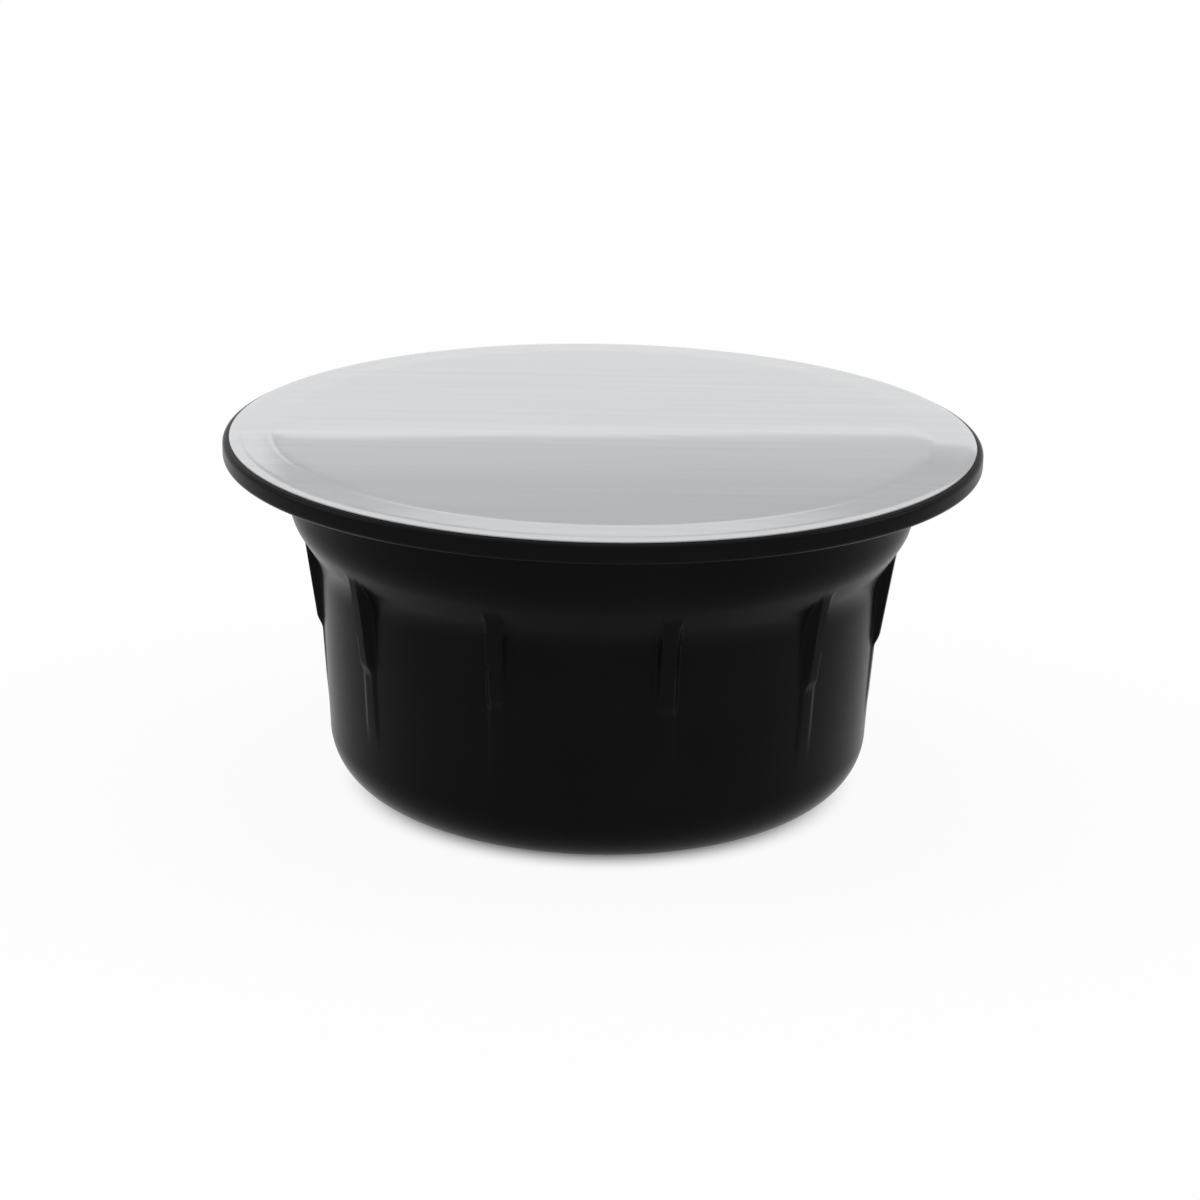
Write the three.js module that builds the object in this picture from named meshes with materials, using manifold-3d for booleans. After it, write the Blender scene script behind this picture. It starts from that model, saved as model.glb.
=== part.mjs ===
// Single-serve coffee pod: a moulded cup with a wide flange, and a film lid
// heat-sealed on it. Millimetres, +Z up, origin at the centre of the foot.
import * as THREE from 'three';
import { mergeVertices } from 'three/addons/utils/BufferGeometryUtils.js';
import Module from 'manifold-3d';

const wasm = await Module();
wasm.setup();

// Overall height, from the foot to the top of the film
const overallHeight = 21.7;

// Flange that the film is sealed to, and that the brewer's holder grips
const flangeRadius = 22.5;
const flangeThickness = 1.15;
const flangeEdgeRadius = 0.3;
const flangeFillet = 0.4;

// Neck: the plain, wider band under the flange
const neckTopRadius = 18.75;
const neckBottomRadius = 18.6;
const neckDepth = 3.55;

// Shoulder: the slope that joins the neck to the side wall
const shoulderDepth = 2.7;
const shoulderBlend = 0.5;

// Side wall, narrower at the foot so that the cup leaves its mould
const wallTopRadius = 16.85;
const wallBottomRadius = 16.3;
const footCornerRadius = 3.6;

// Foot ring, the recessed base panel inside it and the mark of the moulding gate
const footRingWidth = 1.8;
const baseRecess = 0.6;
const baseRecessSlope = 0.5;
const gateRadius = 1.1;
const gateDepth = 0.25;
const gateSlope = 0.2;

// Ribs that brace the shoulder against the side wall, each running on down as a low ridge
const ribCount = 11;
const ribPhase = THREE.MathUtils.degToRad(-109.6);
const ribWidth = 1.05;
const ribLength = 7.3;
const ribTopProud = 1.15;
const ribFootProud = 0.4;
const ribToe = 0.35;
const ridgeLength = 5.0;
const ridgeProud = 0.16;
const ribEdgeRadius = 0.25;
const ribRoot = 0.8;

// Film lid, and the sloped band of the flange that it is sealed to
const filmThickness = 0.1;
const filmMargin = 0.1;
const sealWidth = 2.6;
const sealRise = 0.12;
const sealLayer = 0.02;

// Facets
const roundSegments = 88;
const arcSteps = 4;

const filmUnderside = overallHeight - filmThickness;
const mouthHeight = filmUnderside - sealLayer;
const flangeTop = mouthHeight - sealRise;
const flangeUnderside = flangeTop - flangeThickness;
const neckBottom = flangeUnderside - neckDepth;
const wallTop = neckBottom - shoulderDepth;
const rimRadius = Math.min(flangeEdgeRadius, flangeThickness / 2);
const filmRadius = flangeRadius - rimRadius - filmMargin;
const mouthRadius = filmRadius - sealWidth;

// Points along a round stretch of an outline, first and last included
function arc(centreR, centreZ, radius, fromDegrees, toDegrees, steps = arcSteps) {
  return Array.from({ length: steps + 1 }, (_, i) => {
    const angle = THREE.MathUtils.degToRad(fromDegrees + ((toDegrees - fromDegrees) * i) / steps);
    return new THREE.Vector2(centreR + radius * Math.cos(angle), centreZ + radius * Math.sin(angle));
  });
}

// A corner of an outline, rounded by a curve that leaves it this far on each side
function rounded(before, corner, after, reach, steps = arcSteps) {
  const start = corner.clone().lerp(before, reach / corner.distanceTo(before));
  const end = corner.clone().lerp(after, reach / corner.distanceTo(after));
  return new THREE.QuadraticBezierCurve(start, corner, end).getPoints(steps);
}

// Radius of the side wall at a height, on the straight draft from foot to shoulder
function wallRadius(z) {
  const share = (z - footCornerRadius) / (wallTop - footCornerRadius);
  return THREE.MathUtils.lerp(wallBottomRadius, wallTopRadius, share);
}

// Turns an outline of radius and height about +Z into one closed solid
function turned(outline) {
  const geometry = new THREE.LatheGeometry(outline, roundSegments);
  geometry.rotateX(Math.PI / 2);
  return welded(geometry);
}

// Shares the vertices of a closed geometry and drops its faces of no area
function welded(geometry) {
  geometry.deleteAttribute('normal');
  geometry.deleteAttribute('uv');
  const merged = mergeVertices(geometry, 1e-5);
  const kept = [];
  const index = merged.getIndex().array;
  for (let i = 0; i < index.length; i += 3) {
    const [a, b, c] = index.slice(i, i + 3);
    if (a !== b && b !== c && c !== a) kept.push(a, b, c);
  }
  merged.setIndex(kept);
  return merged;
}

function toSolid(geometry) {
  return new wasm.Manifold(new wasm.Mesh({
    numProp: 3,
    vertProperties: new Float32Array(geometry.getAttribute('position').array),
    triVerts: new Uint32Array(geometry.getIndex().array),
  }));
}

function toGeometry(solid) {
  const { vertProperties, triVerts } = solid.getMesh();
  const geometry = new THREE.BufferGeometry();
  geometry.setAttribute('position', new THREE.BufferAttribute(vertProperties, 3));
  geometry.setIndex(new THREE.BufferAttribute(triVerts, 1));
  return geometry;
}

// Underside: gate mark, recessed panel, foot ring and the round corner above it
function footOutline() {
  const ringOuter = wallBottomRadius - footCornerRadius;
  const ringInner = ringOuter - footRingWidth;
  return [
    new THREE.Vector2(0, baseRecess + gateDepth),
    new THREE.Vector2(gateRadius, baseRecess + gateDepth),
    new THREE.Vector2(gateRadius + gateSlope, baseRecess),
    new THREE.Vector2(ringInner - baseRecessSlope, baseRecess),
    new THREE.Vector2(ringInner, 0),
    ...arc(ringOuter, footCornerRadius, footCornerRadius, -90, 0, 2 * arcSteps),
  ];
}

// Side: drafted wall, sloped shoulder and neck, up to the flange's underside
function sideOutline() {
  const wallFoot = new THREE.Vector2(wallBottomRadius, footCornerRadius);
  const shoulderFoot = new THREE.Vector2(wallTopRadius, wallTop);
  const neckFoot = new THREE.Vector2(neckBottomRadius, neckBottom);
  const neckHead = new THREE.Vector2(neckTopRadius, flangeUnderside);
  const flangeRoot = new THREE.Vector2(flangeRadius, flangeUnderside);
  return [
    ...rounded(wallFoot, shoulderFoot, neckFoot, shoulderBlend),
    ...rounded(shoulderFoot, neckFoot, neckHead, shoulderBlend),
    ...rounded(neckFoot, neckHead, flangeRoot, flangeFillet),
  ];
}

// Flange: both edges of its rim are rounded, and its top slopes up to the mouth
function flangeOutline() {
  const rimCentre = flangeRadius - rimRadius;
  return [
    ...arc(rimCentre, flangeUnderside + rimRadius, rimRadius, -90, 0),
    ...arc(rimCentre, flangeTop - rimRadius, rimRadius, 0, 90),
    new THREE.Vector2(filmRadius, flangeTop),
    new THREE.Vector2(mouthRadius, mouthHeight),
    new THREE.Vector2(0, mouthHeight),
  ];
}

// One rib: its crest runs from inside the shoulder down to a short toe, then the low ridge
// fades into the wall
function ribSolid(angle) {
  const foot = neckBottom - ribLength;
  const toeTop = foot + ribToe;
  const ridgeFoot = foot - ridgeLength;
  const profile = new THREE.Shape([
    new THREE.Vector2(wallRadius(ridgeFoot) - ribRoot, ridgeFoot),
    new THREE.Vector2(wallRadius(ridgeFoot), ridgeFoot),
    new THREE.Vector2(wallRadius(foot) + ridgeProud, foot),
    new THREE.Vector2(wallRadius(toeTop) + ribFootProud, toeTop),
    new THREE.Vector2(wallTopRadius + ribTopProud, neckBottom),
    new THREE.Vector2(wallTopRadius - ribRoot, neckBottom),
  ]);
  const geometry = new THREE.ExtrudeGeometry(profile, {
    depth: ribWidth - 2 * ribEdgeRadius,
    bevelThickness: ribEdgeRadius,
    bevelSize: ribEdgeRadius,
    bevelOffset: -ribEdgeRadius,
    bevelSegments: 2,
  });
  geometry.translate(0, 0, ribEdgeRadius - ribWidth / 2);
  geometry.rotateX(Math.PI / 2);
  geometry.rotateZ(angle);
  return toSolid(welded(geometry));
}

// The moulded cup: turned body with its ribs, all one piece
function cupMesh() {
  let solid = toSolid(turned([...footOutline(), ...sideOutline(), ...flangeOutline()]));
  for (let i = 0; i < ribCount; i += 1) {
    solid = solid.add(ribSolid(ribPhase + (i * 2 * Math.PI) / ribCount));
  }
  const material = new THREE.MeshStandardMaterial({ color: 0x141416, roughness: 0.22, metalness: 0 });
  const mesh = new THREE.Mesh(toGeometry(solid), material);
  mesh.name = 'cup';
  return mesh;
}

// The film lid: one thin sheet, flat over the mouth, whose edge follows the slope of the seal
function filmMesh() {
  const outline = [
    new THREE.Vector2(0, filmUnderside),
    new THREE.Vector2(mouthRadius, filmUnderside),
    new THREE.Vector2(filmRadius, filmUnderside - sealRise),
    new THREE.Vector2(filmRadius, overallHeight - sealRise),
    new THREE.Vector2(mouthRadius, overallHeight),
    new THREE.Vector2(0, overallHeight),
  ];
  const material = new THREE.MeshStandardMaterial({ color: 0xd3d4d6, roughness: 0.3, metalness: 0.1 });
  const mesh = new THREE.Mesh(turned(outline), material);
  mesh.name = 'lid_film';
  return mesh;
}

const pod = new THREE.Group();
pod.add(cupMesh(), filmMesh());

export default pod;
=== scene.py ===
"""Single-serve coffee pod: a glossy moulded cup with a sealed film lid, on a pale studio floor."""

import logging
import math
from dataclasses import dataclass, field
from enum import Enum
from typing import Any, Callable

import bmesh
import bpy
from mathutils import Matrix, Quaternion, Vector

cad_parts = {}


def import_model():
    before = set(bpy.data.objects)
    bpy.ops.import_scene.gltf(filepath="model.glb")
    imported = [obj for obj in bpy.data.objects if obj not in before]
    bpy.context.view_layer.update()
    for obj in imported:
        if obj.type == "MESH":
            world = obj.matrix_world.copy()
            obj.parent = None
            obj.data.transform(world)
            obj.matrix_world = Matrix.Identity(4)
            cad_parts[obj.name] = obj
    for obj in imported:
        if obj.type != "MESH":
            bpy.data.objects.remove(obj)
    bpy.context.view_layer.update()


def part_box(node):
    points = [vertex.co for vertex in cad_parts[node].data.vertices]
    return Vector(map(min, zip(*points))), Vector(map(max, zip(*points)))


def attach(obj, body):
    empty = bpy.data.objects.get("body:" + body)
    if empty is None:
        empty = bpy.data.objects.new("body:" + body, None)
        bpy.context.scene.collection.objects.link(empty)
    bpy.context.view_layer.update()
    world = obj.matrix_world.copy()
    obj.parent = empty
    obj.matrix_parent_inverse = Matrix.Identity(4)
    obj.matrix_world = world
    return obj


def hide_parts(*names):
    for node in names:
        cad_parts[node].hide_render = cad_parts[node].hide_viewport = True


MM = 0.001
BODY = "root"

log = logging.getLogger("coffee_pod")

Outline = list[Vector]
Box = tuple[Vector, Vector]


class Side(Enum):
    """The side of the pod that a lamp stands on, as the sign of its X."""

    LEFT = -1
    RIGHT = 1


def linear(hex_colour: str) -> tuple[float, float, float, float]:
    """Turns an sRGB hex colour into the linear colour that shaders use.

    Args:
        hex_colour: Six hex digits, such as "1A1A1C".

    Returns:
        Linear red, green and blue, with an alpha of 1.
    """
    channels = [int(hex_colour[i:i + 2], 16) / 255 for i in (0, 2, 4)]
    red, green, blue = (c / 12.92 if c <= 0.04045 else ((c + 0.055) / 1.055) ** 2.4 for c in channels)
    return (red, green, blue, 1.0)


def add_node(
    tree: bpy.types.NodeTree,
    kind: str,
    settings: dict[str, Any] | None = None,
    inputs: dict[str | int, Any] | None = None,
) -> bpy.types.Node:
    """Adds a node, sets its properties, and fills or links its inputs.

    Args:
        tree: The node tree to add to.
        kind: The node's type name.
        settings: Property names and values.
        inputs: Input names or indices, each with a plain value or the socket that feeds it.

    Returns:
        The new node.
    """
    node = tree.nodes.new(kind)
    for name, value in (settings or {}).items():
        setattr(node, name, value)
    for key, value in (inputs or {}).items():
        if isinstance(value, bpy.types.NodeSocket):
            tree.links.new(value, node.inputs[key])
        else:
            node.inputs[key].default_value = value
    return node


def new_material(name: str) -> bpy.types.Material:
    """Makes a material whose node tree is empty.

    Args:
        name: Name of the material.

    Returns:
        The material.
    """
    material = bpy.data.materials.new(name)
    material.use_nodes = True
    material.node_tree.nodes.clear()
    return material


def background_rays(tree: bpy.types.NodeTree) -> bpy.types.NodeSocket:
    """Finds the rays that show the background: those of the camera, gloss and transmission.

    Args:
        tree: The node tree to add the test to.

    Returns:
        A socket that is 1 on such a ray and 0 on any other.
    """
    ray = add_node(tree, "ShaderNodeLightPath")
    shiny = add_node(tree, "ShaderNodeMath", {"operation": "MAXIMUM"}, {
        0: ray.outputs["Is Glossy Ray"], 1: ray.outputs["Is Transmission Ray"]})
    seen = add_node(tree, "ShaderNodeMath", {"operation": "MAXIMUM"}, {
        0: ray.outputs["Is Camera Ray"], 1: shiny.outputs["Value"]})
    return seen.outputs["Value"]


def smoothstep(low: float, high: float, value: float) -> float:
    """Eases from 0 at low to 1 at high."""
    share = min(max((value - low) / (high - low), 0.0), 1.0)
    return share * share * (3 - 2 * share)


def steps(start: float, end: float, count: int) -> list[float]:
    """Lists count + 1 evenly spaced values from start to end."""
    return [start + (end - start) * i / count for i in range(count + 1)]


def arc(centre: tuple[float, float], radius: float, first: float, last: float, count: int) -> Outline:
    """Makes the points of a round stretch of an outline.

    Args:
        centre: Radius from the axis and height of the arc's centre.
        radius: The arc's radius.
        first: Angle of the first point, in degrees.
        last: Angle of the last point, in degrees.
        count: Number of steps between them.

    Returns:
        Points of radius from the axis and height.
    """
    angles = (math.radians(a) for a in steps(first, last, count))
    return [Vector((centre[0] + radius * math.cos(a), centre[1] + radius * math.sin(a))) for a in angles]


def rounded(before: Vector, corner: Vector, after: Vector, reach: float, count: int) -> Outline:
    """Rounds a corner of an outline with a curve that touches both of its sides.

    Args:
        before: The outline's point before the corner.
        corner: The corner.
        after: The outline's point after the corner.
        reach: How far from the corner the curve leaves each side.
        count: Number of steps along the curve.

    Returns:
        Points of radius from the axis and height.
    """
    start = corner + (before - corner).normalized() * reach
    end = corner + (after - corner).normalized() * reach
    return [start * (1 - t) ** 2 + corner * 2 * t * (1 - t) + end * t * t for t in steps(0, 1, count)]


def straight(start: Vector, end: Vector, count: int) -> Outline:
    """Splits a straight stretch of an outline, its two ends left out."""
    return [start.lerp(end, i / count) for i in range(1, count)]


def turned_mesh(
    name: str,
    outline: Outline,
    angles: list[float],
    relief: Callable[[float, float, float], tuple[float, float]],
    sharp_degrees: float,
) -> bpy.types.Object:
    """Turns an outline about +Z into a closed mesh, with a relief on its surface.

    Args:
        name: Name of the new object.
        outline: Points of radius and height, the first and the last on the axis.
        angles: Angles about the axis, in radians, in rising order.
        relief: Gives the final radius and height for a radius, a height and an angle.
        sharp_degrees: Edges that turn by more than this are shaded sharp.

    Returns:
        The new object, linked to the scene.
    """
    mesh = bmesh.new()
    bottom = mesh.verts.new((0, 0, relief(0, outline[0].y, 0)[1]))
    rings = []
    for point in outline[1:-1]:
        ring = []
        for angle in angles:
            radius, height = relief(point.x, point.y, angle)
            ring.append(mesh.verts.new((radius * math.cos(angle), radius * math.sin(angle), height)))
        rings.append(ring)
    top = mesh.verts.new((0, 0, relief(0, outline[-1].y, 0)[1]))
    count = len(angles)
    for i in range(count):
        j = (i + 1) % count
        mesh.faces.new((bottom, rings[0][j], rings[0][i]))
        for low, high in zip(rings, rings[1:]):
            mesh.faces.new((low[i], low[j], high[j], high[i]))
        mesh.faces.new((rings[-1][i], rings[-1][j], top))
    bmesh.ops.recalc_face_normals(mesh, faces=mesh.faces)
    data = bpy.data.meshes.new(name)
    mesh.to_mesh(data)
    mesh.free()
    data.shade_smooth()
    data.set_sharp_from_angle(angle=math.radians(sharp_degrees))
    piece = bpy.data.objects.new(name, data)
    bpy.context.scene.collection.objects.link(piece)
    return piece


@dataclass(frozen=True)
class MouldedPolypropylene:
    """Black polypropylene, injection-moulded in a polished tool.

    The polished tool gives it an even skin with a slight orange peel, and the melt that cooled in the
    mould leaves faint cloudy differences in its gloss.
    """

    pigment: str = "0A0A0B"
    pigment_light: str = "101011"
    ior: float = 1.49
    # Far below the plain plastic's 0.5, to match the photograph's black, which hardly shines.
    specular_level: float = 0.032
    roughness_low: float = 0.2
    roughness_high: float = 0.3
    cloud_size: float = 6 * MM
    cloud_detail: float = 3.0
    cloud_roughness: float = 0.5
    peel_size: float = 1.6 * MM
    peel_depth: float = 0.004 * MM
    peel_detail: float = 1.0
    # Finer on the real cup; drawn this coarse so that it shows in the render.
    scuff_size: float = 0.25 * MM
    scuff_depth: float = 0.0015 * MM
    scuff_detail: float = 2.0

    def build(self) -> bpy.types.Material:
        """Builds the material.

        Returns:
            The material, with its patterns in real sizes.
        """
        material = new_material("moulded_polypropylene_black")
        tree = material.node_tree
        place = add_node(tree, "ShaderNodeTexCoord").outputs["Object"]
        cloud = add_node(tree, "ShaderNodeTexNoise", {}, {
            "Vector": place, "Scale": 1 / self.cloud_size, "Detail": self.cloud_detail,
            "Roughness": self.cloud_roughness})
        colour = add_node(tree, "ShaderNodeMix", {"data_type": "RGBA"}, {
            0: cloud.outputs["Fac"], 6: linear(self.pigment), 7: linear(self.pigment_light)})
        roughness = add_node(tree, "ShaderNodeMapRange", {}, {
            "Value": cloud.outputs["Fac"], "To Min": self.roughness_low, "To Max": self.roughness_high})
        peel = add_node(tree, "ShaderNodeTexNoise", {}, {
            "Vector": place, "Scale": 1 / self.peel_size, "Detail": self.peel_detail})
        scuff = add_node(tree, "ShaderNodeTexNoise", {}, {
            "Vector": place, "Scale": 1 / self.scuff_size, "Detail": self.scuff_detail})
        waves = add_node(tree, "ShaderNodeBump", {}, {
            "Height": peel.outputs["Fac"], "Distance": self.peel_depth, "Strength": 1.0})
        skin = add_node(tree, "ShaderNodeBump", {}, {
            "Height": scuff.outputs["Fac"], "Distance": self.scuff_depth, "Strength": 1.0,
            "Normal": waves.outputs["Normal"]})
        shader = add_node(tree, "ShaderNodeBsdfPrincipled", {}, {
            "Base Color": colour.outputs[2], "Roughness": roughness.outputs["Result"], "IOR": self.ior,
            "Specular IOR Level": self.specular_level, "Normal": skin.outputs["Normal"]})
        add_node(tree, "ShaderNodeOutputMaterial", {}, {"Surface": shader.outputs["BSDF"]})
        return material


@dataclass(frozen=True)
class LacqueredLiddingFilm:
    """Aluminium lidding film, rolled, with a pale lacquer on its outer side.

    Rolling leaves fine straight streaks along the web, and the lacquer over them is smooth enough to
    mirror the edge of the room.
    """

    name: str = "lacquered_aluminium_film"
    lacquer: str = "A3A4A6"
    lacquer_light: str = "B5B6B8"
    ior: float = 1.45
    roughness: float = 0.32
    coat_weight: float = 1.0
    coat_roughness: float = 0.02
    coat_ior: float = 1.5
    # Rolling streaks are a few hundredths of a millimetre wide; drawn coarser so that they show.
    streak_width: float = 0.7 * MM
    streak_length: float = 30 * MM
    streak_depth: float = 0.0001 * MM
    streak_detail: float = 3.0
    streak_roughness: float = 0.6

    def build(self) -> bpy.types.Material:
        """Builds the material.

        Returns:
            The material, with its patterns in real sizes.
        """
        material = new_material(self.name)
        tree = material.node_tree
        place = add_node(tree, "ShaderNodeTexCoord").outputs["Object"]
        web = add_node(tree, "ShaderNodeMapping", {}, {
            "Vector": place, "Scale": (1 / self.streak_length, 1 / self.streak_width, 1 / self.streak_width)})
        streak = add_node(tree, "ShaderNodeTexNoise", {}, {
            "Vector": web.outputs["Vector"], "Scale": 1.0, "Detail": self.streak_detail,
            "Roughness": self.streak_roughness})
        colour = add_node(tree, "ShaderNodeMix", {"data_type": "RGBA"}, {
            0: streak.outputs["Fac"], 6: linear(self.lacquer), 7: linear(self.lacquer_light)})
        grain = add_node(tree, "ShaderNodeBump", {}, {
            "Height": streak.outputs["Fac"], "Distance": self.streak_depth, "Strength": 1.0})
        shader = add_node(tree, "ShaderNodeBsdfPrincipled", {}, {
            "Base Color": colour.outputs[2], "Roughness": self.roughness, "IOR": self.ior,
            "Coat Weight": self.coat_weight, "Coat Roughness": self.coat_roughness,
            "Coat IOR": self.coat_ior, "Normal": grain.outputs["Normal"]})
        add_node(tree, "ShaderNodeOutputMaterial", {}, {"Surface": shader.outputs["BSDF"]})
        return material


@dataclass(frozen=True)
class StudioPaper:
    """White background paper, uncoated and matt, with the faint tooth of its pulp.

    Away from the pod it is seen mostly as plain white, so that the pod stands on a pale ground. Close to
    the foot it is seen as it is lit, which keeps the tight shadow there.
    """

    colour: str = "F4F4F4"
    colour_deep: str = "F1F1F1"
    roughness: float = 0.9
    specular_level: float = 0.1
    tooth_size: float = 0.8 * MM
    tooth_detail: float = 2.0
    # The white that is seen of it, and the distances from the axis between which that begins.
    white: str = "FDFDFD"
    white_share: float = 0.95
    shadow_inner: float = 12.5 * MM
    shadow_outer: float = 16 * MM

    def build(self) -> bpy.types.Material:
        """Builds the material.

        Returns:
            The material, with its patterns in real sizes.
        """
        material = new_material("uncoated_studio_paper")
        tree = material.node_tree
        place = add_node(tree, "ShaderNodeTexCoord").outputs["Object"]
        tooth = add_node(tree, "ShaderNodeTexNoise", {}, {
            "Vector": place, "Scale": 1 / self.tooth_size, "Detail": self.tooth_detail})
        colour = add_node(tree, "ShaderNodeMix", {"data_type": "RGBA"}, {
            0: tooth.outputs["Fac"], 6: linear(self.colour), 7: linear(self.colour_deep)})
        shader = add_node(tree, "ShaderNodeBsdfPrincipled", {}, {
            "Base Color": colour.outputs[2], "Roughness": self.roughness,
            "Specular IOR Level": self.specular_level})
        white = add_node(tree, "ShaderNodeEmission", {}, {"Color": linear(self.white), "Strength": 1.0})
        away = add_node(tree, "ShaderNodeVectorMath", {"operation": "LENGTH"}, {0: place})
        clear = add_node(tree, "ShaderNodeMapRange", {"interpolation_type": "SMOOTHSTEP"}, {
            "Value": away.outputs["Value"], "From Min": self.shadow_inner, "From Max": self.shadow_outer,
            "To Min": 0.0, "To Max": self.white_share})
        share = add_node(tree, "ShaderNodeMath", {"operation": "MULTIPLY"}, {
            0: background_rays(tree), 1: clear.outputs["Result"]})
        mix = add_node(tree, "ShaderNodeMixShader", {}, {
            0: share.outputs["Value"], 1: shader.outputs["BSDF"], 2: white.outputs["Emission"]})
        add_node(tree, "ShaderNodeOutputMaterial", {}, {"Surface": mix.outputs["Shader"]})
        return material


@dataclass(frozen=True)
class Seal:
    """The sloped band on the flange that the film is fused to, from the mouth out to the film's edge."""

    outer: float
    width: float = 2.6 * MM
    rise: float = 0.12 * MM
    # How widely the bend at the mouth is eased.
    blend: float = 0.2 * MM

    @property
    def inner(self) -> float:
        """Radius of the cup's mouth, where the band begins."""
        return self.outer - self.width

    def drop(self, radius: float) -> float:
        """Gives how far the band lies below the mouth.

        Args:
            radius: Radius from the axis.

        Returns:
            The drop: none over the mouth, the whole rise at the film's edge, with an eased bend between.
        """
        slope = self.rise / self.width
        past = radius - self.inner
        return slope * (past + math.hypot(past, self.blend)) / 2


@dataclass
class Cup:
    """The moulded cup, one piece: foot, side wall, ribs, shoulder, neck and flange."""

    space: Box
    seal: Seal
    finish: MouldedPolypropylene = field(default_factory=MouldedPolypropylene)
    # Flange
    flange_thickness: float = 1.15 * MM
    flange_edge_radius: float = 0.3 * MM
    flange_fillet: float = 0.4 * MM
    # Neck and shoulder
    neck_top_radius: float = 18.75 * MM
    neck_bottom_radius: float = 18.6 * MM
    neck_depth: float = 3.55 * MM
    shoulder_depth: float = 2.7 * MM
    shoulder_blend: float = 0.9 * MM
    # Side wall, and the round corner at its foot
    wall_top_radius: float = 16.85 * MM
    wall_bottom_radius: float = 16.3 * MM
    foot_corner_radius: float = 3.6 * MM
    # Foot ring, the recessed panel inside it and the gate mark
    foot_ring_width: float = 1.8 * MM
    foot_ring_edge: float = 0.15 * MM
    base_recess: float = 0.6 * MM
    base_recess_slope: float = 0.5 * MM
    gate_radius: float = 1.1 * MM
    gate_depth: float = 0.25 * MM
    gate_slope: float = 0.2 * MM
    # Ribs, with how softly their sides and their crests go over into the wall
    rib_count: int = 11
    rib_phase_degrees: float = -109.6
    rib_width: float = 1.05 * MM
    rib_edge: float = 0.2 * MM
    rib_blend: float = 0.08 * MM
    rib_length: float = 7.3 * MM
    rib_top_proud: float = 1.15 * MM
    rib_foot_proud: float = 0.4 * MM
    rib_toe: float = 1.0 * MM
    # Low ridge that runs on below each rib
    ridge_length: float = 5.0 * MM
    ridge_proud: float = 0.1 * MM
    ridge_fade: float = 2.5 * MM
    # Steps along the stretches of the outline
    edge_steps: int = 4
    panel_steps: int = 6
    corner_steps: int = 24
    wall_steps: int = 64
    slope_steps: int = 8
    blend_steps: int = 10
    rim_steps: int = 8
    # Columns of the mesh across a rib and between two ribs, and the turn past which an edge is sharp
    rib_columns: int = 22
    gap_columns: int = 18
    sharp_degrees: float = 40

    @property
    def flange_radius(self) -> float:
        """Outer radius, as the frame has it."""
        return self.space[1].x

    @property
    def mouth_height(self) -> float:
        """Height of the mouth, as the frame has it."""
        return self.space[1].z

    @property
    def flange_top(self) -> float:
        """Height of the flange's upper face at its rim."""
        return self.mouth_height - self.seal.rise

    @property
    def flange_underside(self) -> float:
        """Height of the flange's lower face."""
        return self.flange_top - self.flange_thickness

    @property
    def neck_bottom(self) -> float:
        """Height where the neck meets the shoulder."""
        return self.flange_underside - self.neck_depth

    @property
    def wall_top(self) -> float:
        """Height where the side wall meets the shoulder."""
        return self.neck_bottom - self.shoulder_depth

    @property
    def ring_outer(self) -> float:
        """Outer radius of the foot ring, where the round corner begins."""
        return self.wall_bottom_radius - self.foot_corner_radius

    @property
    def rib_foot(self) -> float:
        """Height where a rib's toe ends and its low ridge begins."""
        return self.neck_bottom - self.rib_length

    @property
    def ridge_foot(self) -> float:
        """Height where the low ridge has faded into the wall."""
        return self.rib_foot - self.ridge_length

    def wall_radius(self, height: float) -> float:
        """Gives the side wall's radius at a height above the foot, on its straight draft."""
        share = (height - self.foot_corner_radius) / (self.wall_top - self.foot_corner_radius)
        return self.wall_bottom_radius + (self.wall_top_radius - self.wall_bottom_radius) * share

    def rib_crest(self, height: float) -> float:
        """Gives the radius of a rib's crest at a height.

        Args:
            height: Height above the foot.

        Returns:
            The radius there, or 0 above the rib.
        """
        if height > self.neck_bottom:
            return 0.0
        wall = self.wall_radius(height)
        if height < self.rib_foot:
            return wall + self.ridge_proud * (height - self.ridge_foot) / self.ridge_length
        toe_top = self.rib_foot + self.rib_toe
        if height < toe_top:
            toe = self.rib_foot_proud - self.ridge_proud
            return wall + self.ridge_proud + toe * smoothstep(self.rib_foot, toe_top, height)
        low = self.wall_radius(toe_top) + self.rib_foot_proud
        high = self.wall_top_radius + self.rib_top_proud
        return low + (high - low) * (height - toe_top) / (self.neck_bottom - toe_top)

    def relief(self, radius: float, height: float, angle: float) -> tuple[float, float]:
        """Raises the ribs on the turned surface.

        Args:
            radius: Radius of the plain surface.
            height: Height of the plain surface.
            angle: Angle about the axis, in radians.

        Returns:
            Radius and height with the ribs on it.
        """
        if radius < self.ring_outer:
            return radius, height
        pitch = 2 * math.pi / self.rib_count
        turn = (angle - math.radians(self.rib_phase_degrees)) / pitch
        across = abs(turn - round(turn)) * pitch * radius
        half = self.rib_width / 2
        share = 1 - smoothstep(half - self.rib_edge, half + self.rib_edge, across)
        share *= smoothstep(self.ridge_foot, self.ridge_foot + self.ridge_fade, height)
        stand = self.rib_crest(height) - radius
        rise = (stand + math.hypot(stand, self.rib_blend)) / 2
        return radius + share * rise, height

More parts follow.
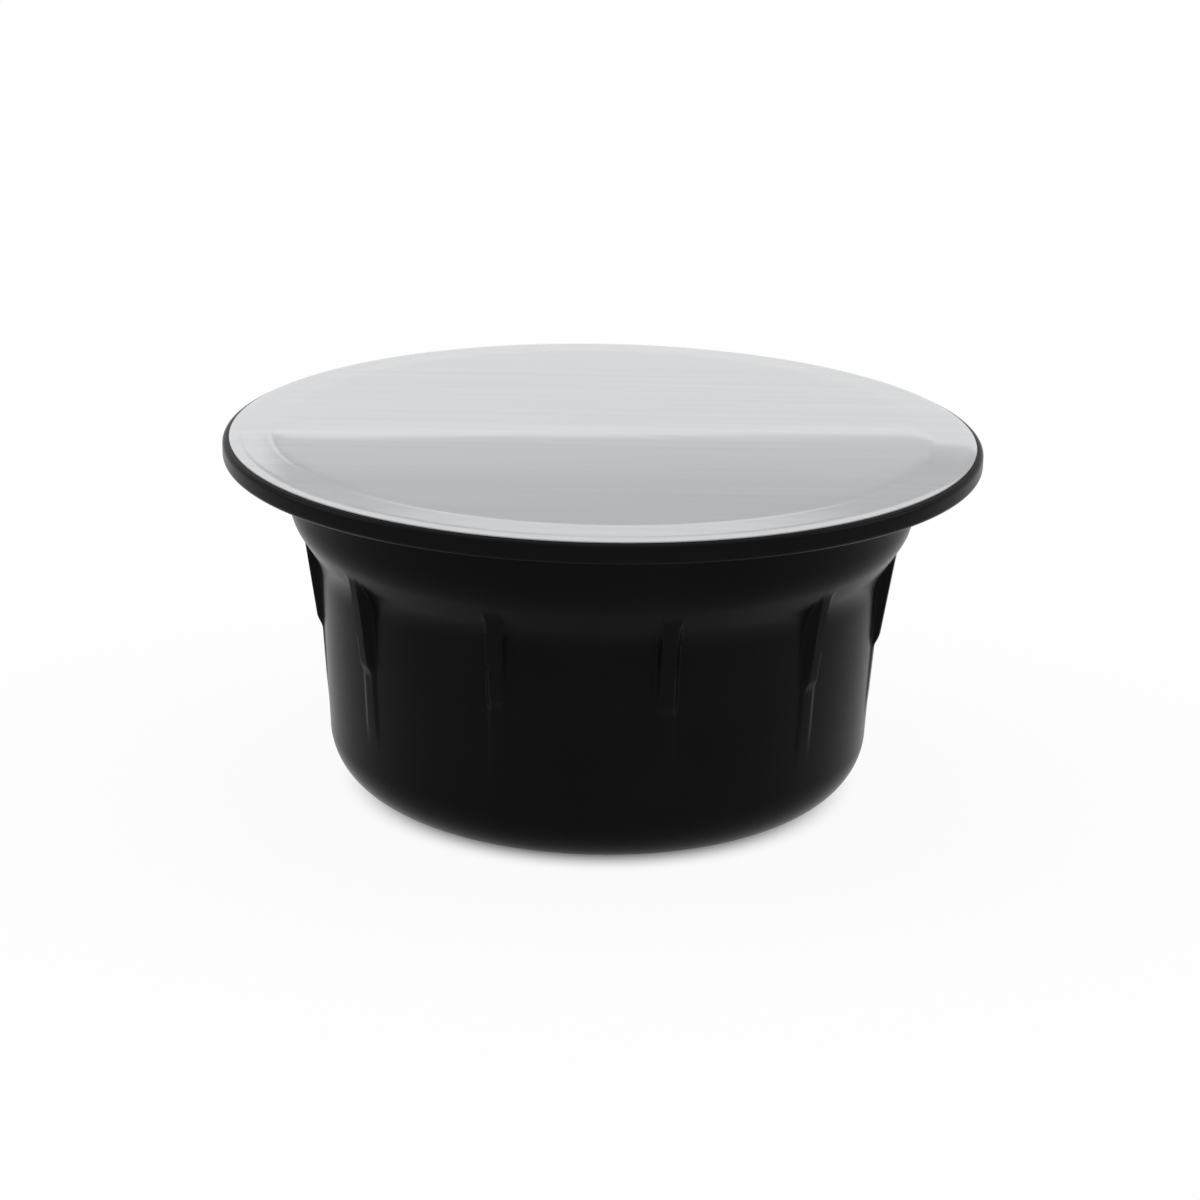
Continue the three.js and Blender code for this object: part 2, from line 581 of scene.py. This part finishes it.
    def outline(self) -> Outline:
        """Draws the cup's outline from the middle of the base to the middle of the top.

        Returns:
            Points of radius from the axis and height.
        """
        ring_inner = self.ring_outer - self.foot_ring_width
        gate_edge = self.gate_slope / 3
        gate_foot = Vector((self.gate_radius + self.gate_slope, self.base_recess))
        gate_head = Vector((self.gate_radius, self.base_recess + self.gate_depth))
        gate_middle = Vector((0.0, gate_head.y))
        panel_end = Vector((ring_inner - self.base_recess_slope, self.base_recess))
        ring_edge = Vector((ring_inner, 0.0))
        ring_foot = Vector((self.ring_outer, 0.0))
        wall_foot = Vector((self.wall_bottom_radius, self.foot_corner_radius))
        wall_head = Vector((self.wall_top_radius, self.wall_top))
        neck_foot = Vector((self.neck_bottom_radius, self.neck_bottom))
        neck_head = Vector((self.neck_top_radius, self.flange_underside))
        flange_root = Vector((self.flange_radius, self.flange_underside))
        corner_centre = (self.ring_outer, self.foot_corner_radius)
        rim = self.flange_radius - self.flange_edge_radius
        lower = (rim, self.flange_underside + self.flange_edge_radius)
        upper = (rim, self.flange_top - self.flange_edge_radius)
        shoulder_foot = rounded(wall_foot, wall_head, neck_foot, self.shoulder_blend, self.blend_steps)
        shoulder_head = rounded(wall_head, neck_foot, neck_head, self.shoulder_blend, self.blend_steps)
        return [
            gate_middle,
            *rounded(gate_middle, gate_head, gate_foot, gate_edge, self.edge_steps),
            *rounded(gate_head, gate_foot, panel_end, gate_edge, self.edge_steps),
            *straight(gate_foot, panel_end, self.panel_steps),
            *rounded(gate_foot, panel_end, ring_edge, self.foot_ring_edge, self.edge_steps),
            *rounded(panel_end, ring_edge, ring_foot, self.foot_ring_edge, self.edge_steps),
            *arc(corner_centre, self.foot_corner_radius, -90, 0, self.corner_steps),
            *straight(wall_foot, shoulder_foot[0], self.wall_steps),
            *shoulder_foot,
            *straight(shoulder_foot[-1], shoulder_head[0], self.slope_steps),
            *shoulder_head,
            *rounded(neck_foot, neck_head, flange_root, self.flange_fillet, self.blend_steps),
            *arc(lower, self.flange_edge_radius, -90, 0, self.rim_steps),
            *arc(upper, self.flange_edge_radius, 0, 90, self.rim_steps),
            Vector((self.seal.outer, self.flange_top)),
            Vector((self.seal.inner, self.mouth_height)),
            Vector((0.0, self.mouth_height)),
        ]

    def angles(self) -> list[float]:
        """Lists the angles of the mesh's columns, closer together across each rib.

        Returns:
            Angles in radians, in rising order.
        """
        pitch = 2 * math.pi / self.rib_count
        dense = (self.rib_width / 2 + 2 * self.rib_edge) / self.wall_top_radius
        local = steps(-dense, dense, self.rib_columns) + steps(dense, pitch - dense, self.gap_columns)[1:-1]
        phase = math.radians(self.rib_phase_degrees)
        return [phase + k * pitch + a for k in range(self.rib_count) for a in local]

    def build(self) -> bpy.types.Object:
        """Builds and dresses the cup.

        Returns:
            The finished piece.
        """
        piece = turned_mesh("moulded_cup", self.outline(), self.angles(), self.relief, self.sharp_degrees)
        piece.data.materials.append(self.finish.build())
        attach(piece, BODY)
        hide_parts("cup")
        return piece


@dataclass
class FilmLid:
    """The lidding film: flat over the mouth, then sloping with the seal, where the tool pressed it."""

    space: Box
    seal: Seal
    finish: LacqueredLiddingFilm = field(default_factory=LacqueredLiddingFilm)
    # The heat-seal tool leaves the lacquer a little duller where it pressed.
    seal_finish: LacqueredLiddingFilm = field(default_factory=lambda: LacqueredLiddingFilm(
        name="heat_sealed_film_band", roughness=0.36, coat_roughness=0.04))
    thickness: float = 0.1 * MM
    press: float = 0.004 * MM
    press_slope: float = 0.4 * MM
    press_margin: float = 0.45 * MM
    # The die that cuts the film rounds its upper edge over.
    cut_width: float = 0.5 * MM
    cut_drop: float = 0.03 * MM
    ripple: float = 0.0008 * MM
    # Each wave of the ripple: how often it rises round the film, its share of the height and its phase.
    ripple_waves: tuple[tuple[int, float, float], ...] = ((5, 1.0, 0.7), (9, 0.6, 2.1), (17, 0.4, 0.0))
    # The higher this power, the closer to the seal the ripple dies out.
    ripple_power: int = 8
    # Columns of the mesh, its rows out to the mouth and again to the edge, and the turn past which an
    # edge is sharp
    columns: int = 360
    rows: int = 44
    sharp_degrees: float = 50

    def press_depth(self, radius: float) -> float:
        """Gives how far the heat-seal tool and the cutting die pressed the film's upper face down.

        Args:
            radius: Radius from the axis.

        Returns:
            The depth: none over the mouth, even across the band, and rounded over at the cut edge.
        """
        last = self.seal.outer - self.press_margin
        into = smoothstep(self.seal.inner, self.seal.inner + self.press_slope, radius)
        out = smoothstep(last - self.press_slope, last, radius)
        cut = max(radius - self.seal.outer + self.cut_width, 0.0) / self.cut_width
        return self.press * into * (1 - out) + self.cut_drop * cut * cut

    def ripple_height(self, radius: float, angle: float) -> float:
        """Gives the film's faint ripple, where the hot tool drew it tight over the mouth.

        Args:
            radius: Radius from the axis.
            angle: Angle about the axis, in radians.

        Returns:
            The height, which is none at the middle and on the seal.
        """
        share = min(radius / self.seal.inner, 1.0)
        wave = sum(part * math.sin(count * angle + phase) for count, part, phase in self.ripple_waves)
        return self.ripple * share * share * (1 - share ** self.ripple_power) * wave

    def relief(self, radius: float, height: float, angle: float) -> tuple[float, float]:
        """Sets a point of the flat sheet in its place on the cup.

        Args:
            radius: Radius of the flat sheet's point.
            height: Its height in the sheet, from 0 at the lower face.
            angle: Angle about the axis, in radians.

        Returns:
            Radius and height of the point in the frame.
        """
        underside = self.space[1].z - self.thickness
        pressed = self.press_depth(radius) * height / self.thickness
        # The film is lowered by the ripple's size, so that no crest rises past the frame.
        wave = self.ripple_height(radius, angle) - self.ripple
        return radius, underside + height - self.seal.drop(radius) - pressed + wave

    def outline(self) -> Outline:
        """Draws the flat sheet's outline, from its middle below to its middle above.

        Returns:
            Points of radius from the axis and height.
        """
        radii = steps(0, self.seal.inner, self.rows) + steps(self.seal.inner, self.seal.outer, self.rows)[1:]
        under = [Vector((r, 0.0)) for r in radii]
        over = [Vector((r, self.thickness)) for r in reversed(radii)]
        return under + over

    def build(self) -> bpy.types.Object:
        """Builds and dresses the film.

        Returns:
            The finished piece.
        """
        angles = steps(-math.pi, math.pi, self.columns)[:-1]
        piece = turned_mesh("sealed_film", self.outline(), angles, self.relief, self.sharp_degrees)
        piece.data.materials.append(self.finish.build())
        piece.data.materials.append(self.seal_finish.build())
        for face in piece.data.polygons:
            face.material_index = int(math.hypot(face.center.x, face.center.y) > self.seal.inner)
        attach(piece, BODY)
        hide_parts("lid_film")
        return piece


@dataclass
class Studio:
    """Pale floor, soft light and the camera."""

    paper: StudioPaper = field(default_factory=StudioPaper)
    floor_size: float = 3.0
    # Keeps the paper's face clear of the foot ring's.
    floor_drop: float = 0.02 * MM
    # Camera, with its sensor and lens in millimetres, as Blender has them
    camera_distance: float = 180 * MM
    camera_height: float = 70.5 * MM
    aim_height: float = 11 * MM
    sensor: float = 36.0
    lens: float = 94.0
    clip_start: float = 10 * MM
    # The camera's roll, which the room's edges follow, so that they stay level in the picture.
    roll_degrees: float = 1.1
    # The room's brightness, by the angle in degrees at which its level edges rise: a bright wall, a dim
    # gap above it and a bright ceiling. The film mirrors the wall's upper edge as a straight line.
    room: tuple[tuple[float, float], ...] = (
        (14.8, 0.93), (15.13, 0.93), (15.17, 1.15), (15.27, 1.15), (15.31, 0.5), (15.5, 0.36), (15.85, 0.32),
        (16.05, 0.18), (16.5, 0.08), (16.8, 0.04), (20.3, 0.04), (21.8, 0.8), (24.0, 0.95))
    # Towards the camera the room dims to this share, between these values of a direction's Y.
    front_share: float = 0.8
    front_reach: tuple[float, float] = (-0.8, -0.2)
    # The dim gap is only in the far wall. It ends on the left between these values of a direction's X,
    # and towards the camera between these values of its Y.
    gap_left: tuple[float, float] = (-0.135, -0.12)
    gap_near: tuple[float, float] = (0.8, 0.88)
    wall_light: float = 0.93
    # Soft square lamps, in metres and watts, set back from the pod along +Y
    lamp_size: float = 0.5
    lamp_distance: float = 0.7
    lamp_height: float = 0.55
    lamp_set_back: float = 0.1
    lamp_power: float = 1.7
    overhead_size: float = 0.75
    overhead_height: float = 0.9
    overhead_set_back: float = 0.12
    overhead_power: float = 1.7

    def floor(self) -> None:
        """Lays the paper that the pod stands on."""
        half = self.floor_size / 2
        data = bpy.data.meshes.new("paper_floor")
        corners = [(-half, -half), (half, -half), (half, half), (-half, half)]
        data.from_pydata([(x, y, -self.floor_drop) for x, y in corners], [], [(0, 1, 2, 3)])
        floor = bpy.data.objects.new("paper_floor", data)
        floor.data.materials.append(self.paper.build())
        bpy.context.scene.collection.objects.link(floor)

    def room_levels(self, tree: bpy.types.NodeTree, way: bpy.types.NodeSocket) -> bpy.types.NodeSocket:
        """Gives the brightness of the room's level bands.

        Args:
            tree: The world's node tree.
            way: The direction that is looked in.

        Returns:
            A socket with the brightness in that direction.
        """
        leant = add_node(tree, "ShaderNodeMapping", {"vector_type": "VECTOR"}, {
            "Vector": way, "Rotation": (0.0, -math.radians(self.roll_degrees), 0.0)})
        upright = add_node(tree, "ShaderNodeVectorMath", {"operation": "MULTIPLY"}, {
            0: leant.outputs["Vector"], 1: (0.0, 1.0, 1.0)})
        level = add_node(tree, "ShaderNodeVectorMath", {"operation": "NORMALIZE"}, {
            0: upright.outputs["Vector"]})
        rise = add_node(tree, "ShaderNodeSeparateXYZ", {}, {"Vector": level.outputs["Vector"]})
        # A ramp has 256 steps, so it covers only the room's bands: their edges are then sharp.
        heights = [math.sin(math.radians(elevation)) for elevation, _ in self.room]
        low, high = heights[0], heights[-1]
        span = add_node(tree, "ShaderNodeMapRange", {}, {
            "Value": rise.outputs["Z"], "From Min": low, "From Max": high})
        ramp = add_node(tree, "ShaderNodeValToRGB", {}, {"Fac": span.outputs["Result"]})
        while len(ramp.color_ramp.elements) < len(self.room):
            ramp.color_ramp.elements.new(1.0)
        for stop, height, (_, bright) in zip(ramp.color_ramp.elements, heights, self.room):
            stop.position = (height - low) / (high - low)
            stop.color = (bright, bright, bright, 1.0)
        return ramp.outputs["Color"]

    def room_light(self, tree: bpy.types.NodeTree) -> bpy.types.NodeSocket:
        """Gives the brightness of the whole room: its bands, the ends of its gap and its dimmer front.

        Args:
            tree: The world's node tree.

        Returns:
            A socket with the brightness in the direction that is looked in.
        """
        way = add_node(tree, "ShaderNodeTexCoord").outputs["Generated"]
        axes = add_node(tree, "ShaderNodeSeparateXYZ", {}, {"Vector": way})
        nearest, farthest = self.front_reach
        front = add_node(tree, "ShaderNodeMapRange", {"interpolation_type": "SMOOTHSTEP"}, {
            "Value": axes.outputs["Y"], "From Min": nearest, "From Max": farthest,
            "To Min": self.front_share, "To Max": 1.0})
        walls = self.room_levels(tree, way)
        for axis, (first, last) in (("X", self.gap_left), ("Y", self.gap_near)):
            beyond = add_node(tree, "ShaderNodeMapRange", {"interpolation_type": "SMOOTHSTEP"}, {
                "Value": axes.outputs[axis], "From Min": first, "From Max": last,
                "To Min": self.wall_light, "To Max": 0.0})
            brighter = add_node(tree, "ShaderNodeMath", {"operation": "MAXIMUM"}, {
                0: walls, 1: beyond.outputs["Result"]})
            walls = brighter.outputs["Value"]
        light = add_node(tree, "ShaderNodeMath", {"operation": "MULTIPLY"}, {
            0: walls, 1: front.outputs["Result"]})
        return light.outputs["Value"]

    def world(self) -> None:
        """Surrounds the pod with a pale room: a dim gap low in its far wall, and less light in front."""
        world = bpy.data.worlds.new("pale_room")
        bpy.context.scene.world = world
        world.use_nodes = True
        tree = world.node_tree
        tree.nodes.clear()
        # Every kind of ray sees this same room. The white ground of the picture is the paper's.
        room = add_node(tree, "ShaderNodeBackground", {}, {
            "Color": (1.0, 1.0, 1.0, 1.0), "Strength": self.room_light(tree)})
        add_node(tree, "ShaderNodeOutputWorld", {}, {"Surface": room.outputs["Background"]})

    def lamp(self, name: str, place: Vector, power: float, size: float) -> None:
        """Hangs a square soft lamp that faces the pod.

        Args:
            name: Name of the lamp.
            place: Where it hangs.
            power: Its power in watts.
            size: The length of its side.
        """
        data = bpy.data.lights.new(name, "AREA")
        data.size = size
        data.energy = power
        lamp = bpy.data.objects.new(name, data)
        lamp.location = place
        lamp.rotation_euler = (-place).to_track_quat("-Z", "Y").to_euler()
        bpy.context.scene.collection.objects.link(lamp)

    def lamps(self) -> None:
        """Hangs a lamp on each side and one overhead."""
        for side in Side:
            place = Vector((side.value * self.lamp_distance, self.lamp_set_back, self.lamp_height))
            self.lamp(f"soft_lamp_{side.name.lower()}", place, self.lamp_power, self.lamp_size)
        overhead = Vector((0.0, self.overhead_set_back, self.overhead_height))
        self.lamp("soft_lamp_overhead", overhead, self.overhead_power, self.overhead_size)

    def camera(self) -> None:
        """Stands the camera where the photograph was taken from."""
        data = bpy.data.cameras.new("camera")
        data.sensor_width = self.sensor
        data.lens = self.lens
        data.clip_start = self.clip_start
        camera = bpy.data.objects.new("camera", data)
        camera.location = (0.0, -self.camera_distance, self.camera_height)
        look = Vector((0.0, 0.0, self.aim_height)) - camera.location
        roll = Quaternion((0.0, 0.0, 1.0), math.radians(self.roll_degrees))
        camera.rotation_euler = (look.to_track_quat("-Z", "Y") @ roll).to_euler()
        bpy.context.scene.collection.objects.link(camera)
        bpy.context.scene.camera = camera

    def build(self) -> None:
        """Sets up the floor, the room, the lamps and the camera."""
        self.floor()
        self.world()
        self.lamps()
        self.camera()
        bpy.context.scene.view_settings.view_transform = "Standard"


def main() -> None:
    """Builds the pod around its frame and reports each piece."""
    logging.basicConfig(level=logging.INFO, format="%(name)s: %(message)s")
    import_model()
    Studio().build()
    film_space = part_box("lid_film")
    seal = Seal(film_space[1].x)
    for part in (Cup(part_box("cup"), seal), FilmLid(film_space, seal)):
        piece = part.build()
        log.info("%s: %d faces", piece.name, len(piece.data.polygons))


if __name__ == "__main__":
    main()
